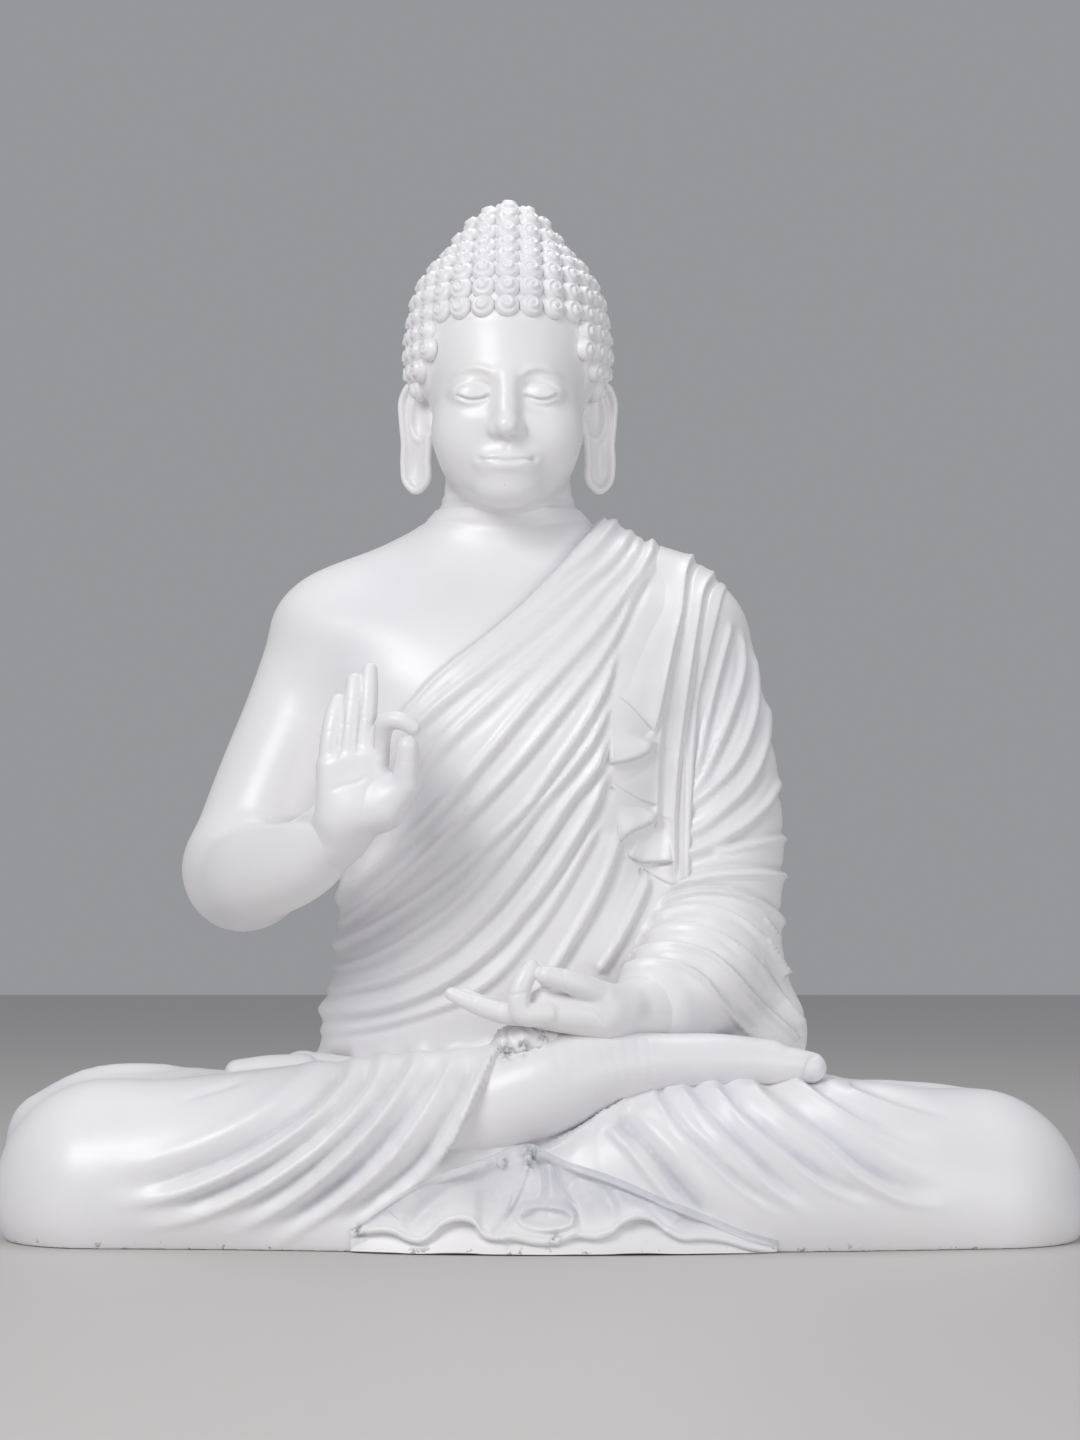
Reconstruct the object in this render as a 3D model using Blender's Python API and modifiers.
"""Seated meditation statue, about three feet tall, moulded in glass-fibre laminate.

The figure is a hollow shell in several castings over a welded steel armature, closed below by a
screwed plywood board. Metres, +Z up, -Y is the front, origin at the centre of the footprint.
"""

import math

import bmesh
import bpy
from mathutils import Matrix, Vector

# Driving dimensions
WALL = 0.007
GAP = 0.0005
BED_GAP = 0.0010
SEAM_Y = 0.035
HEAD_SEAM_Y = 0.010
WAIST_Z = 0.168
NECK_Z = 0.618
ELBOW_Z = 0.362
BODY_VOXEL = 0.008
HEAD_VOXEL = 0.006
HAND_VOXEL = 0.0032
FOOT_VOXEL = 0.004
SMALL_VOXEL = 0.003
CLOTH_VOXEL = 0.005
BOARD_THICKNESS = 0.018
BOARD_LIFT = 0.004
BOARD_ROOM = 0.002
FAR = 2.0
HEAD_X = -0.029

# About how many triangles each casting gets
BODY_TRIANGLES = 2700
BODY_CAVITY_TRIANGLES = 1500
HEAD_TRIANGLES = 800
HEAD_CAVITY_TRIANGLES = 420
EAR_TRIANGLES = 220
RIGHT_HAND_TRIANGLES = 800
LEFT_HAND_TRIANGLES = 750
FOOT_TRIANGLES = 500
TOES_TRIANGLES = 220
SASH_TRIANGLES = 480
FAN_TRIANGLES = 560

WHITE = (0.86, 0.85, 0.87)
STEEL = (0.33, 0.34, 0.36)
ZINC = (0.68, 0.68, 0.7)
PLY = (0.62, 0.46, 0.29)
PINE = (0.72, 0.56, 0.36)

# Horizontal sections of the draped trunk: height, centre x, centre y, half width, half depth
TRUNK = [
    (0.060, -0.008, 0.070, 0.185, 0.125),
    (0.120, -0.010, 0.065, 0.186, 0.130),
    (0.170, -0.012, 0.050, 0.182, 0.130),
    (0.215, -0.016, 0.038, 0.174, 0.124),
    (0.260, -0.020, 0.032, 0.168, 0.120),
    (0.305, -0.022, 0.030, 0.160, 0.119),
    (0.360, -0.025, 0.026, 0.158, 0.122),
    (0.420, -0.026, 0.024, 0.165, 0.126),
    (0.480, -0.026, 0.026, 0.178, 0.122),
    (0.530, -0.027, 0.032, 0.190, 0.104),
    (0.560, -0.028, 0.036, 0.177, 0.087),
    (0.582, -0.028, 0.038, 0.162, 0.076),
    (0.602, -0.029, 0.036, 0.128, 0.067),
    (0.622, -0.029, 0.030, 0.086, 0.059),
    (0.645, -0.029, 0.020, 0.062, 0.055),
    (0.680, -0.029, 0.012, 0.056, 0.053),
]

# Limbs: centre points and radii, from the body outwards
RIGHT_ARM = [
    ((-0.178, 0.032, 0.520), 0.064),
    ((-0.216, 0.018, 0.430), 0.056),
    ((-0.258, -0.002, 0.335), 0.052),
    ((-0.267, -0.014, 0.310), 0.048),
]
RIGHT_FOREARM = [
    ((-0.267, -0.020, 0.309), 0.046),
    ((-0.235, -0.080, 0.309), 0.041),
    ((-0.188, -0.140, 0.322), 0.032),
    ((-0.160, -0.165, 0.345), 0.027),
]
LEFT_ARM = [
    ((0.126, 0.032, 0.524), 0.064),
    ((0.144, 0.022, 0.430), 0.064),
    ((0.151, 0.006, 0.330), 0.065),
    ((0.149, -0.006, 0.255), 0.063),
    ((0.174, -0.020, 0.180), 0.060),
]
LEFT_FOREARM = [
    ((0.152, -0.021, 0.238), 0.058),
    ((0.135, -0.080, 0.215), 0.050),
    ((0.105, -0.118, 0.200), 0.040),
]
RIGHT_THIGH = [
    ((-0.100, 0.120, 0.066), 0.100),
    ((-0.250, 0.030, 0.051), 0.087),
    ((-0.380, -0.080, 0.044), 0.091),
]
LEFT_THIGH = [
    ((0.100, 0.120, 0.066), 0.100),
    ((0.255, 0.030, 0.046), 0.087),
    ((0.381, -0.080, 0.036), 0.090),
]
RIGHT_SHIN = [
    ((-0.380, -0.108, 0.042), 0.090),
    ((-0.230, -0.130, 0.062), 0.083),
    ((-0.100, -0.148, 0.078), 0.074),
    ((0.000, -0.160, 0.100), 0.050),
]
LEFT_SHIN = [
    ((0.381, -0.108, 0.034), 0.089),
    ((0.230, -0.132, 0.046), 0.086),
    ((0.090, -0.150, 0.045), 0.074),
    ((-0.080, -0.160, 0.030), 0.068),
]
RIGHT_FOOT = [
    ((-0.010, -0.166, 0.130), 0.043),
    ((0.040, -0.160, 0.146), 0.038),
    ((0.110, -0.150, 0.150), 0.030),
    ((0.180, -0.138, 0.150), 0.026),
    ((0.222, -0.128, 0.150), 0.018),
]
LEFT_TOES = [
    ((-0.200, -0.022, 0.134), 0.026),
    ((-0.258, -0.030, 0.138), 0.015),
]

# Ears, for the left one from the top down: distance out from the head's middle, y, z and radius
EAR_STATIONS = [
    (0.088, 0.004, 0.738, 0.012),
    (0.087, 0.004, 0.715, 0.012),
    (0.080, 0.000, 0.685, 0.010),
    (0.078, -0.002, 0.664, 0.009),
]
EAR_SHELL = ((0.086, 0.010, 0.732), (0.011, 0.022, 0.026))

# Rounded masses: centre and half sizes
LAP_MASSES = [
    ((0.000, 0.000, 0.030), (0.300, 0.180, 0.092)),
    ((0.000, 0.120, 0.045), (0.235, 0.127, 0.120)),
    ((-0.020, -0.050, 0.078), (0.210, 0.130, 0.078)),
    ((0.000, -0.130, 0.020), (0.330, 0.092, 0.070)),
]
HEAD_MASSES = [
    ((HEAD_X, 0.006, 0.780), (0.092, 0.104, 0.088)),
    ((HEAD_X, 0.002, 0.822), (0.080, 0.088, 0.070)),
    ((HEAD_X, 0.004, 0.864), (0.052, 0.057, 0.056)),
    ((HEAD_X, -0.026, 0.724), (0.073, 0.082, 0.090)),
    ((HEAD_X, -0.040, 0.672), (0.052, 0.054, 0.044)),
]
NECK = [((HEAD_X, 0.022, 0.590), 0.057), ((HEAD_X, 0.008, 0.700), 0.057)]

# The raised right hand, palm to the front, and the left hand lying palm up in the lap
RAISED_HAND = {
    "wrist": [((-0.158, -0.165, 0.325), 0.026), ((-0.152, -0.172, 0.355), 0.028)],
    "palm_outer": [((-0.166, -0.174, 0.345), 0.020), ((-0.172, -0.180, 0.405), 0.016)],
    "palm_middle": [((-0.152, -0.174, 0.345), 0.021), ((-0.155, -0.180, 0.415), 0.016)],
    "palm_inner": [((-0.142, -0.174, 0.350), 0.021), ((-0.139, -0.180, 0.413), 0.015)],
    "little": [((-0.176, -0.180, 0.405), 0.0105), ((-0.171, -0.172, 0.460), 0.0080)],
    "ring": [((-0.161, -0.182, 0.412), 0.0110), ((-0.158, -0.170, 0.478), 0.0082)],
    "middle": [((-0.147, -0.182, 0.414), 0.0110), ((-0.144, -0.168, 0.486), 0.0082)],
    "index": [
        ((-0.137, -0.182, 0.412), 0.0110),
        ((-0.135, -0.196, 0.438), 0.0095),
        ((-0.121, -0.204, 0.444), 0.0088),
        ((-0.104, -0.206, 0.432), 0.0075),
    ],
    "thumb": [
        ((-0.130, -0.178, 0.358), 0.0180),
        ((-0.110, -0.190, 0.385), 0.0125),
        ((-0.103, -0.202, 0.424), 0.0085),
    ],
}
RESTING_HAND = {
    "wrist": [((0.092, -0.130, 0.198), 0.030), ((0.060, -0.160, 0.188), 0.026)],
    "palm": [((0.062, -0.165, 0.186), 0.024), ((0.010, -0.185, 0.180), 0.020)],
    "index": [
        ((0.004, -0.196, 0.188), 0.0105),
        ((-0.022, -0.206, 0.192), 0.0095),
        ((-0.024, -0.206, 0.214), 0.0088),
        ((-0.008, -0.204, 0.230), 0.0075),
    ],
    "thumb": [
        ((0.052, -0.172, 0.202), 0.0160),
        ((0.028, -0.192, 0.218), 0.0115),
        ((0.000, -0.204, 0.230), 0.0085),
    ],
    "middle": [((0.000, -0.186, 0.184), 0.0110), ((-0.074, -0.192, 0.210), 0.0080)],
    "ring": [((0.000, -0.172, 0.182), 0.0110), ((-0.068, -0.170, 0.194), 0.0085)],
}

# The pleated end of the robe that falls from the left shoulder, and the fan of cloth between the shins
SASH_PLEATS = 4
SASH_TOP, SASH_FOOT = (0.070, 0.158), (0.066, 0.128)
SASH_FALL = [(0.012, 0.596), (-0.034, 0.562), (-0.058, 0.490), (-0.068, 0.400), (-0.072, 0.322)]
SASH_RADIUS = 0.0165
SASH_TOP_SLOPE = 0.018
FAN_APEX = (0.000, -0.206, 0.082)
FAN_RIBS = 9
FAN_HALF_WIDTH = 0.165
FAN_FOOT_Y, FAN_FOOT_Z, FAN_FOOT_DEPTH = -0.229, 0.008, 0.018
FAN_PLAN_CURVE = 0.25
FAN_APEX_RADIUS, FAN_FOOT_RADIUS = 0.008, 0.0155

# Armature and base. The spine is a square steel tube welded to a flange on the base board.
SPINE_XY = (-0.024, 0.046)
SPINE_SIDE = 0.032
SPINE_WALL = 0.003
SPINE_TOP = 0.572
FLANGE_SIDE = 0.120
FLANGE_THICKNESS = 0.006
BOLT_RADIUS = 0.004
BOLT_SQUARE = 0.043
NUT_HEIGHT, NUT_ACROSS = 0.0065, 0.013
BOLT_STICKS_OUT = 0.012
CAP_THICKNESS = 0.006
SHOULDER_Z = 0.520
SHOULDER_BAR = (0.006, 0.030)
SHOULDER_SPAN = (-0.180, 0.125)
STUD_RADIUS = 0.005
STUD_Z = (0.553, 0.664)
DISC_Z = (0.634, 0.646)
DISC_RADIUS = 0.040
NECK_NUT_HEIGHT, NECK_NUT_ACROSS = 0.008, 0.017
NECK_XY = (HEAD_X, 0.020)
DOWEL_RADIUS = 0.004
RIGHT_DOWEL = ((-0.186, -0.138, 0.318), (-0.152, -0.172, 0.368))
LEFT_DOWEL = ((0.128, -0.098, 0.206), (0.052, -0.166, 0.188))

# Boxes that the right forearm casting is cut out of the body with: one behind the elbow, one at the wrist
ELBOW_ROOM = ((-2.0, -2.0, 0.200), (-0.202, 2.0, ELBOW_Z))
WRIST_ROOM = ((-0.240, -2.0, 0.255), (-0.120, -0.094, 0.400))

# Wooden cleats inside the lap, which the base board is screwed to: centre and half sizes in plan
CLEATS = {
    "front_left": ((0.190, -0.150), (0.050, 0.022)),
    "front_right": ((-0.190, -0.150), (0.050, 0.022)),
    "rear_left": ((0.105, 0.180), (0.050, 0.020)),
    "rear_right": ((-0.105, 0.180), (0.050, 0.020)),
}
CLEAT_HEIGHT = 0.030
SCREW_STEP = 0.025
SCREW_LENGTH = 0.040
SCREW_RADIUS = 0.0022
SCREW_HEAD = 0.0042


def start_clean():
    """Empties the scene and makes the two collections."""
    for obj in list(bpy.data.objects):
        bpy.data.objects.remove(obj)
    made = []
    for name in ("seated_statue", "helpers"):
        made.append(bpy.data.collections.new(name))
        bpy.context.scene.collection.children.link(made[-1])
    return made


PARTS, HELPERS = start_clean()


def material(name, colour, roughness, metallic=0.0):
    """A plain Principled material."""
    made = bpy.data.materials.new(name)
    made.use_nodes = True
    shader = made.node_tree.nodes["Principled BSDF"]
    shader.inputs["Base Color"].default_value = (*colour, 1.0)
    shader.inputs["Roughness"].default_value = roughness
    shader.inputs["Metallic"].default_value = metallic
    return made


GELCOAT = material("white_gelcoat", WHITE, 0.25)
MILD_STEEL = material("mild_steel", STEEL, 0.5, 1.0)
ZINC_PLATE = material("zinc_plate", ZINC, 0.35, 1.0)
PLYWOOD = material("plywood", PLY, 0.7)
SOFTWOOD = material("softwood", PINE, 0.7)


def helper(name, mesh):
    """A hidden working object."""
    obj = bpy.data.objects.new(name, mesh)
    HELPERS.objects.link(obj)
    obj.hide_render = True
    obj.display_type = "WIRE"
    return obj


def from_bmesh(name, shape):
    """Turns a bmesh into a hidden working object."""
    mesh = bpy.data.meshes.new(name)
    shape.to_mesh(mesh)
    shape.free()
    return helper(name, mesh)


def node(source, name, look):
    """Makes a finished sub-part out of a working object's mesh."""
    source.name = name + "_source"
    mesh = source.data.copy()
    mesh.name = name
    mesh.materials.clear()
    mesh.materials.append(look)
    mesh.shade_smooth()
    mesh.set_sharp_from_angle(angle=math.radians(40))
    obj = bpy.data.objects.new(name, mesh)
    obj.matrix_world = source.matrix_world
    PARTS.objects.link(obj)
    return obj


def applied(obj, name):
    """A new working object that holds the other one's evaluated mesh."""
    graph = bpy.context.evaluated_depsgraph_get()
    mesh = bpy.data.meshes.new_from_object(obj.evaluated_get(graph))
    mesh.transform(obj.matrix_world)
    return helper(name, mesh)


def box(low, high, name="block"):
    """A box between two corners."""
    low, high = Vector(low), Vector(high)
    shape = bmesh.new()
    bmesh.ops.create_cube(shape, size=1.0)
    place = Matrix.Translation((low + high) / 2) @ Matrix.Diagonal((high - low).to_4d())
    bmesh.ops.transform(shape, matrix=place, verts=shape.verts)
    return from_bmesh(name, shape)


def rod(start, end, radius, end_radius=None, sides=16, name="rod"):
    """A round bar or a cone frustum between two points."""
    start, end = Vector(start), Vector(end)
    along = end - start
    shape = bmesh.new()
    bmesh.ops.create_cone(
        shape,
        cap_ends=True,
        segments=sides,
        radius1=radius,
        radius2=radius if end_radius is None else end_radius,
        depth=along.length,
    )
    turn = Vector((0, 0, 1)).rotation_difference(along).to_matrix().to_4x4()
    place = Matrix.Translation((start + end) / 2) @ turn
    bmesh.ops.transform(shape, matrix=place, verts=shape.verts)
    return from_bmesh(name, shape)


def ball(centre, half_sizes):
    """An ellipsoid."""
    shape = bmesh.new()
    bmesh.ops.create_uvsphere(shape, u_segments=28, v_segments=18, radius=1.0)
    place = Matrix.Translation(centre) @ Matrix.Diagonal(Vector(half_sizes).to_4d())
    bmesh.ops.transform(shape, matrix=place, verts=shape.verts)
    return from_bmesh("ball", shape)


def limb(stations):
    """Balls at the stations and frustums between them."""
    made = [ball(centre, (radius,) * 3) for centre, radius in stations]
    for (a, ra), (b, rb) in zip(stations, stations[1:]):
        made.append(rod(a, b, ra, rb, sides=28))
    return made


def loft(sections, steps=36):
    """A closed body through horizontal elliptic sections."""
    shape = bmesh.new()
    rings = []
    for z, cx, cy, rx, ry in sections:
        angles = [2 * math.pi * i / steps for i in range(steps)]
        ring = [
            shape.verts.new((cx + rx * math.cos(a), cy + ry * math.sin(a), z))
            for a in angles
        ]
        rings.append(ring)
    for lower, upper in zip(rings, rings[1:]):
        for i in range(steps):
            j = (i + 1) % steps
            shape.faces.new((lower[i], lower[j], upper[j], upper[i]))
    shape.faces.new(list(reversed(rings[0])))
    shape.faces.new(rings[-1])
    return from_bmesh("loft", shape)


def fuse(name, pieces, voxel, smoothing, triangles):
    """Melts overlapping pieces into one soft closed form with about that many triangles."""
    shape = bmesh.new()
    for piece in pieces:
        shape.from_mesh(piece.data)
        bpy.data.objects.remove(piece)
    lump = from_bmesh(name + "_lump", shape)
    remesh = lump.modifiers.new("voxels", "REMESH")
    remesh.mode = "VOXEL"
    remesh.voxel_size = voxel
    soften = lump.modifiers.new("soften", "SMOOTH")
    soften.factor = 0.5
    soften.iterations = smoothing
    fine = applied(lump, name + "_fine")
    bpy.data.objects.remove(lump)
    return fine, thinned(fine, name, triangles)


def thinned(source, name, triangles):
    """A copy with about that many triangles."""
    count = sum(len(face.vertices) - 2 for face in source.data.polygons)
    thin = source.modifiers.new("thin", "DECIMATE")
    thin.ratio = min(1.0, triangles / count)
    made = applied(source, name)
    source.modifiers.remove(thin)
    return made


def moved_skin(source, distance, name, triangles=None, voxel=None):
    """A copy whose skin is moved along its normals; a fresh skin is laid over it if voxel is given."""
    push = source.modifiers.new("push", "DISPLACE")
    push.mid_level = 0.0
    push.strength = distance
    if voxel:
        remesh = source.modifiers.new("voxels", "REMESH")
        remesh.mode = "VOXEL"
        remesh.voxel_size = voxel
    made = applied(source, name)
    source.modifiers.clear()
    return thinned(made, name + "_thin", triangles) if triangles else made


def boolean(target, other, operation, name="cut"):
    """A new working object: target less, and, or with the other one."""
    modifier = target.modifiers.new("boolean", "BOOLEAN")
    modifier.operation = operation
    modifier.solver = "EXACT"
    modifier.object = other
    made = applied(target, name)
    target.modifiers.remove(modifier)
    return made


def minus(target, other, name="cut"):
    """What is left of target without the other one."""
    return boolean(target, other, "DIFFERENCE", name)


def within(target, low, high, name="cut"):
    """The part of target inside a box."""
    return boolean(target, box(low, high), "INTERSECT", name)


def biggest(obj):
    """Keeps only the largest connected body of a mesh."""
    shape = bmesh.new()
    shape.from_mesh(obj.data)
    left, groups = set(shape.verts), []
    while left:
        todo = [left.pop()]
        group = set(todo)
        while todo:
            for edge in todo.pop().link_edges:
                for vert in edge.verts:
                    if vert in left:
                        left.discard(vert)
                        group.add(vert)
                        todo.append(vert)
        groups.append(group)
    groups.sort(key=len, reverse=True)
    for group in groups[1:]:
        bmesh.ops.delete(shape, geom=list(group), context="VERTS")
    shape.to_mesh(obj.data)
    shape.free()
    return obj


def body_forms():
    """The body's outer skin, its cavity, a skin grown for what is laid on it and one for the board."""
    limbs = (RIGHT_ARM, RIGHT_FOREARM, LEFT_ARM, LEFT_FOREARM, RIGHT_THIGH)
    limbs += (LEFT_THIGH, RIGHT_SHIN, LEFT_SHIN)
    pieces = [loft(TRUNK)]
    for stations in limbs:
        pieces += limb(stations)
    pieces += [ball(*mass) for mass in LAP_MASSES]
    fine, skin = fuse("body", pieces, BODY_VOXEL, 4, BODY_TRIANGLES)
    cavity = moved_skin(fine, -WALL - GAP, "body_cavity", BODY_CAVITY_TRIANGLES, BODY_VOXEL)
    grown = moved_skin(skin, BED_GAP, "body_grown")
    inner = moved_skin(cavity, -BOARD_ROOM, "body_inner")
    return skin, cavity, grown, inner


def body_castings(skin, cavity):
    """Torso and lap halves and the right forearm, cut from one hollow figure."""
    bores = [(*ends, DOWEL_RADIUS + GAP) for ends in (RIGHT_DOWEL, LEFT_DOWEL)]
    shell = drilled(minus(skin, cavity, "body_shell"), bores, "body_shell_drilled")
    half = GAP / 2
    reach = boolean(box(*ELBOW_ROOM), box(*WRIST_ROOM), "UNION", "forearm_region")
    forearm = biggest(boolean(shell, reach, "INTERSECT", "forearm"))
    node(forearm, "right_forearm_shell", GELCOAT)
    body = minus(shell, moved_skin(reach, GAP, "forearm_room"), "body")
    spans = {"torso": (WAIST_Z + half, NECK_Z), "lap": (0.0, WAIST_Z - half)}
    sides = {"front": (-FAR, SEAM_Y - half), "back": (SEAM_Y + half, FAR)}
    for span, (low_z, high_z) in spans.items():
        for side, (low_y, high_y) in sides.items():
            piece = within(body, (-FAR, low_y, low_z), (FAR, high_y, high_z))
            node(biggest(piece), f"{span}_{side}_shell", GELCOAT)


def head_castings():
    """The hollow head in a face half and a back half, and a skin grown for the ears."""
    pieces = [ball(*mass) for mass in HEAD_MASSES] + limb(NECK)
    fine, skin = fuse("head", pieces, HEAD_VOXEL, 5, HEAD_TRIANGLES)
    cavity = moved_skin(fine, -WALL - GAP, "head_cavity", HEAD_CAVITY_TRIANGLES, HEAD_VOXEL)
    shell = minus(skin, cavity, "head_shell")
    front = ((-FAR, -FAR), (FAR, HEAD_SEAM_Y - GAP / 2))
    back = ((-FAR, HEAD_SEAM_Y + GAP / 2), (FAR, FAR))
    for side, (low, high) in (("front", front), ("back", back)):
        piece = within(shell, (*low, NECK_Z + GAP), (*high, FAR))
        node(biggest(piece), f"head_{side}_shell", GELCOAT)
    return moved_skin(skin, BED_GAP, "head_grown")


def ears(head_grown):
    """Long-lobed ears, each bonded to the side of the head."""
    for name, side in (("right_ear", -1), ("left_ear", 1)):
        stations = [((HEAD_X + side * out, y, z), radius) for out, y, z, radius in EAR_STATIONS]
        (out, y, z), half_sizes = EAR_SHELL
        pieces = limb(stations) + [ball((HEAD_X + side * out, y, z), half_sizes)]
        laid_on(name, pieces, SMALL_VOXEL, EAR_TRIANGLES, [head_grown])


def hands(grown):
    """The raised hand, and the resting hand bedded in lap and sleeve; returns the room that one takes."""
    right = [piece for stations in RAISED_HAND.values() for piece in limb(stations)]
    drill = [(*RIGHT_DOWEL, DOWEL_RADIUS + GAP)]
    laid_on("right_hand", right, HAND_VOXEL, RIGHT_HAND_TRIANGLES, [grown], drill)
    left = [piece for stations in RESTING_HAND.values() for piece in limb(stations)]
    drill = [(*LEFT_DOWEL, DOWEL_RADIUS + GAP)]
    return laid_on("left_hand", left, HAND_VOXEL, LEFT_HAND_TRIANGLES, [grown], drill)


def laid_on(name, pieces, voxel, triangles, grown, holes=()):
    """A solid casting bedded on others: what stands clear of their grown skins, above the floor."""
    _, form = fuse(name + "_form", pieces, voxel, 3, triangles)
    room = moved_skin(form, BED_GAP, name + "_grown")
    for skin in grown:
        form = minus(form, skin, name + "_cut")
    form = within(form, (-FAR, -FAR, 0.0), (FAR, FAR, FAR))
    node(drilled(biggest(form), holes, name + "_drilled"), name, GELCOAT)
    return room


def drilled(obj, holes, name):
    """A working object with round holes: (start, end, radius)."""
    for start, end, radius in holes:
        obj = minus(obj, rod(start, end, radius, sides=12, name="drill"), name)
    return obj


def drapery(grown, taken):
    """The shoulder sash and the front fan, both with round pleats."""
    pieces = []
    for i in range(SASH_PLEATS):
        share = i / (SASH_PLEATS - 1)
        top = SASH_TOP[0] + share * (SASH_TOP[1] - SASH_TOP[0])
        foot = SASH_FOOT[0] + share * (SASH_FOOT[1] - SASH_FOOT[0])
        stations = []
        for step, (y, z) in enumerate(SASH_FALL):
            x = top + (foot - top) * step / (len(SASH_FALL) - 1)
            drop = SASH_TOP_SLOPE * share if step == 0 else 0.0
            stations.append(((x, y, z - drop), SASH_RADIUS))
        pieces += limb(stations)
    laid_on("shoulder_sash", pieces, CLOTH_VOXEL, SASH_TRIANGLES, [grown])
    pieces = []
    for i in range(FAN_RIBS):
        x = FAN_HALF_WIDTH * (2 * i / (FAN_RIBS - 1) - 1)
        y = FAN_FOOT_Y + FAN_PLAN_CURVE * x * x
        foot, below = (x, y, FAN_FOOT_Z), (x, y, FAN_FOOT_Z - FAN_FOOT_DEPTH)
        pieces += limb([(FAN_APEX, FAN_APEX_RADIUS), (foot, FAN_FOOT_RADIUS)])
        pieces += limb([(foot, FAN_FOOT_RADIUS), (below, FAN_FOOT_RADIUS)])
    laid_on("hem_fan", pieces, CLOTH_VOXEL, FAN_TRIANGLES, [grown, taken])


def feet(grown, hand_room):
    """The right foot on the left thigh and the left toes; returns the room that the foot takes."""
    foot_room = laid_on("right_foot", limb(RIGHT_FOOT), FOOT_VOXEL, FOOT_TRIANGLES, [grown, hand_room])
    laid_on("left_toes", limb(LEFT_TOES), SMALL_VOXEL, TOES_TRIANGLES, [grown])
    return foot_room


def turned(name, profile, at, look, along=(0, 0, 1), sides=12):
    """A turned piece: (radius, height) pairs, top down, spun about an axis through a point."""
    mesh = bpy.data.meshes.new(name)
    points = [(radius, 0.0, height) for radius, height in profile]
    mesh.from_pydata(points, [(i, i + 1) for i in range(len(points) - 1)], [])
    lathe = helper(name + "_profile", mesh)
    spin = lathe.modifiers.new("spin", "SCREW")
    spin.steps = spin.render_steps = sides
    spin.use_merge_vertices = True
    spin.merge_threshold = 0.00005
    turn = Vector((0, 0, 1)).rotation_difference(Vector(along))
    lathe.matrix_world = Matrix.Translation(at) @ turn.to_matrix().to_4x4()
    bpy.context.view_layer.update()
    return node(applied(lathe, name + "_lathe"), name, look)


def board_and_cleats(inner):
    """The plywood base board, its cleats and the screws between them."""
    top = BOARD_LIFT + BOARD_THICKNESS
    board = within(inner, (-FAR, -FAR, BOARD_LIFT), (FAR, FAR, top), "board_blank")
    holes = [((x, y, -1.0), (x, y, 1.0), BOLT_RADIUS + GAP) for x, y in bolt_places()]
    for name, ((x, y), (half_x, half_y)) in CLEATS.items():
        low = (x - half_x, y - half_y, top + GAP)
        block = within(inner, low, (x + half_x, y + half_y, top + CLEAT_HEIGHT))
        places = [(x - SCREW_STEP, y), (x + SCREW_STEP, y)]
        drills = [((a, b, -1.0), (a, b, 1.0), SCREW_RADIUS + GAP) for a, b in places]
        node(drilled(biggest(block), drills, "cleat_blank"), f"cleat_{name}", SOFTWOOD)
        holes += drills
        for side, (a, b) in zip(("outer", "inner"), places):
            wood_screw(f"screw_{name}_{side}", (a, b, BOARD_LIFT))
    node(drilled(biggest(board), holes, "board"), "base_board", PLYWOOD)


def wood_screw(name, at):
    """A pan-head wood screw that points up from the underside of the board."""
    profile = [
        (0.0, SCREW_LENGTH),
        (SCREW_RADIUS, SCREW_LENGTH - 0.006),
        (SCREW_RADIUS, -GAP),
        (SCREW_HEAD, -GAP),
        (SCREW_HEAD, -0.0018),
        (SCREW_HEAD * 0.6, -0.0030),
        (0.0, -0.0032),
    ]
    turned(name, profile, at, ZINC_PLATE, sides=8)


def bolt_places():
    """Where the four flange bolts stand."""
    x, y = SPINE_XY
    step = BOLT_SQUARE
    return [(x + i * step, y + j * step) for i in (-1, 1) for j in (-1, 1)]


def hex_prism(low, high, across, at, hole):
    """A six-sided nut or head with a round hole, as a working object."""
    x, y = at
    radius = across / math.sqrt(3)
    prism = rod((x, y, low), (x, y, high), radius, sides=6, name="hexagon")
    return drilled(prism, [((x, y, low - 1), (x, y, high + 1), hole)], "nut_blank")


def armature():
    """Flange, spine, shoulder bar and the bolts and nuts that hold the flange to the board."""
    x, y = SPINE_XY
    floor = BOARD_LIFT + BOARD_THICKNESS + GAP
    half = FLANGE_SIDE / 2
    top = floor + FLANGE_THICKNESS
    plate = box((x - half, y - half, floor), (x + half, y + half, top))
    holes = [((a, b, -1.0), (a, b, 1.0), BOLT_RADIUS + GAP) for a, b in bolt_places()]
    node(drilled(plate, holes, "flange_blank"), "spine_flange", MILD_STEEL)
    outer, bore = SPINE_SIDE / 2, SPINE_SIDE / 2 - SPINE_WALL
    foot = top + GAP
    tube = box((x - outer, y - outer, foot), (x + outer, y + outer, SPINE_TOP))
    core = box((x - bore, y - bore, foot - 1.0), (x + bore, y + bore, SPINE_TOP + 1.0))
    node(minus(tube, core, "tube_blank"), "spine_tube", MILD_STEEL)
    front = y - outer - GAP
    thickness, height = SHOULDER_BAR
    low = (SHOULDER_SPAN[0], front - thickness, SHOULDER_Z)
    bar = box(low, (SHOULDER_SPAN[1], front, SHOULDER_Z + height))
    node(bar, "shoulder_bar", MILD_STEEL)
    names = ("front_right", "rear_right", "front_left", "rear_left")
    for name, (a, b) in zip(names, bolt_places()):
        flange_bolt(name, a, b, top)


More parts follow.
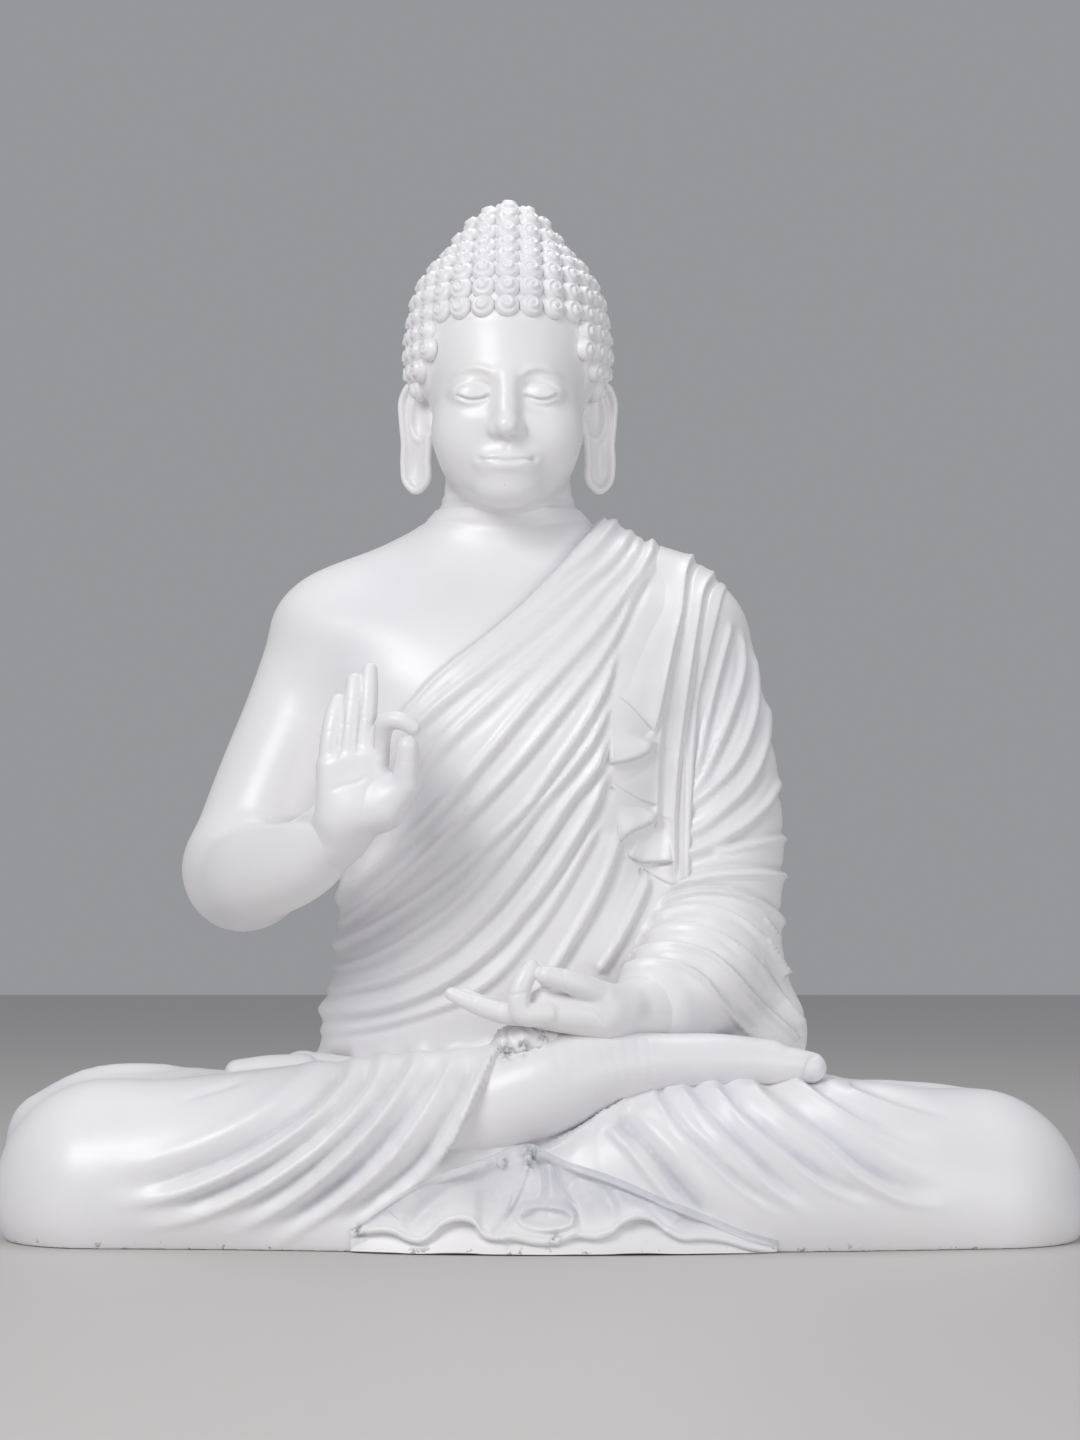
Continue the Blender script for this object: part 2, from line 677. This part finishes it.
def flange_bolt(name, x, y, plate_top):
    """A carriage bolt up through board and flange, and its nut."""
    reach = plate_top - BOARD_LIFT
    profile = [
        (0.0, reach + BOLT_STICKS_OUT),
        (BOLT_RADIUS, reach + BOLT_STICKS_OUT),
        (BOLT_RADIUS, -GAP),
        (BOLT_RADIUS * 2.2, -GAP),
        (BOLT_RADIUS * 1.8, -0.0022),
        (0.0, -0.0032),
    ]
    turned(f"flange_bolt_{name}", profile, (x, y, BOARD_LIFT), ZINC_PLATE, sides=10)
    low = plate_top + GAP
    nut = hex_prism(low, low + NUT_HEIGHT, NUT_ACROSS, (x, y), BOLT_RADIUS + GAP)
    node(nut, f"flange_nut_{name}", ZINC_PLATE)


def neck_fixing():
    """A threaded stud from the spine's cap plate up through a disc glued in the neck."""
    x, y = NECK_XY
    cap = box((x - 0.022, y - 0.022, SPINE_TOP + GAP), (x + 0.030, y + 0.046, SPINE_TOP + CAP_THICKNESS))
    bore = [((x, y, -1.0), (x, y, 2.0), STUD_RADIUS + GAP)]
    node(drilled(cap, bore, "cap_blank"), "spine_cap", MILD_STEEL)
    stud = rod((x, y, STUD_Z[0]), (x, y, STUD_Z[1]), STUD_RADIUS, sides=12)
    node(stud, "neck_stud", ZINC_PLATE)
    disc = rod((x, y, DISC_Z[0]), (x, y, DISC_Z[1]), DISC_RADIUS, sides=32)
    node(drilled(disc, bore, "disc_blank"), "neck_disc", PLYWOOD)
    spots = {
        "cap_nut_upper": SPINE_TOP + CAP_THICKNESS + GAP,
        "cap_nut_lower": SPINE_TOP - NECK_NUT_HEIGHT - GAP,
        "disc_nut_lower": DISC_Z[0] - NECK_NUT_HEIGHT - GAP,
        "disc_nut_upper": DISC_Z[1] + GAP,
    }
    for name, low in spots.items():
        nut = hex_prism(low, low + NECK_NUT_HEIGHT, NECK_NUT_ACROSS, (x, y), STUD_RADIUS + GAP)
        node(nut, f"neck_{name}", ZINC_PLATE)


def wrist_dowels():
    """Steel pins that carry the two hands."""
    for name, (start, end) in (("right", RIGHT_DOWEL), ("left", LEFT_DOWEL)):
        along = (Vector(end) - Vector(start)).normalized()
        near, far = Vector(start) + along * GAP, Vector(end) - along * GAP
        pin = rod(near, far, DOWEL_RADIUS, sides=12)
        node(pin, f"{name}_wrist_dowel", ZINC_PLATE)


def main():
    skin, cavity, grown, inner = body_forms()
    body_castings(skin, cavity)
    ears(head_castings())
    hand_room = hands(grown)
    foot_room = feet(grown, hand_room)
    drapery(grown, foot_room)
    board_and_cleats(inner)
    armature()
    neck_fixing()
    wrist_dowels()


main()
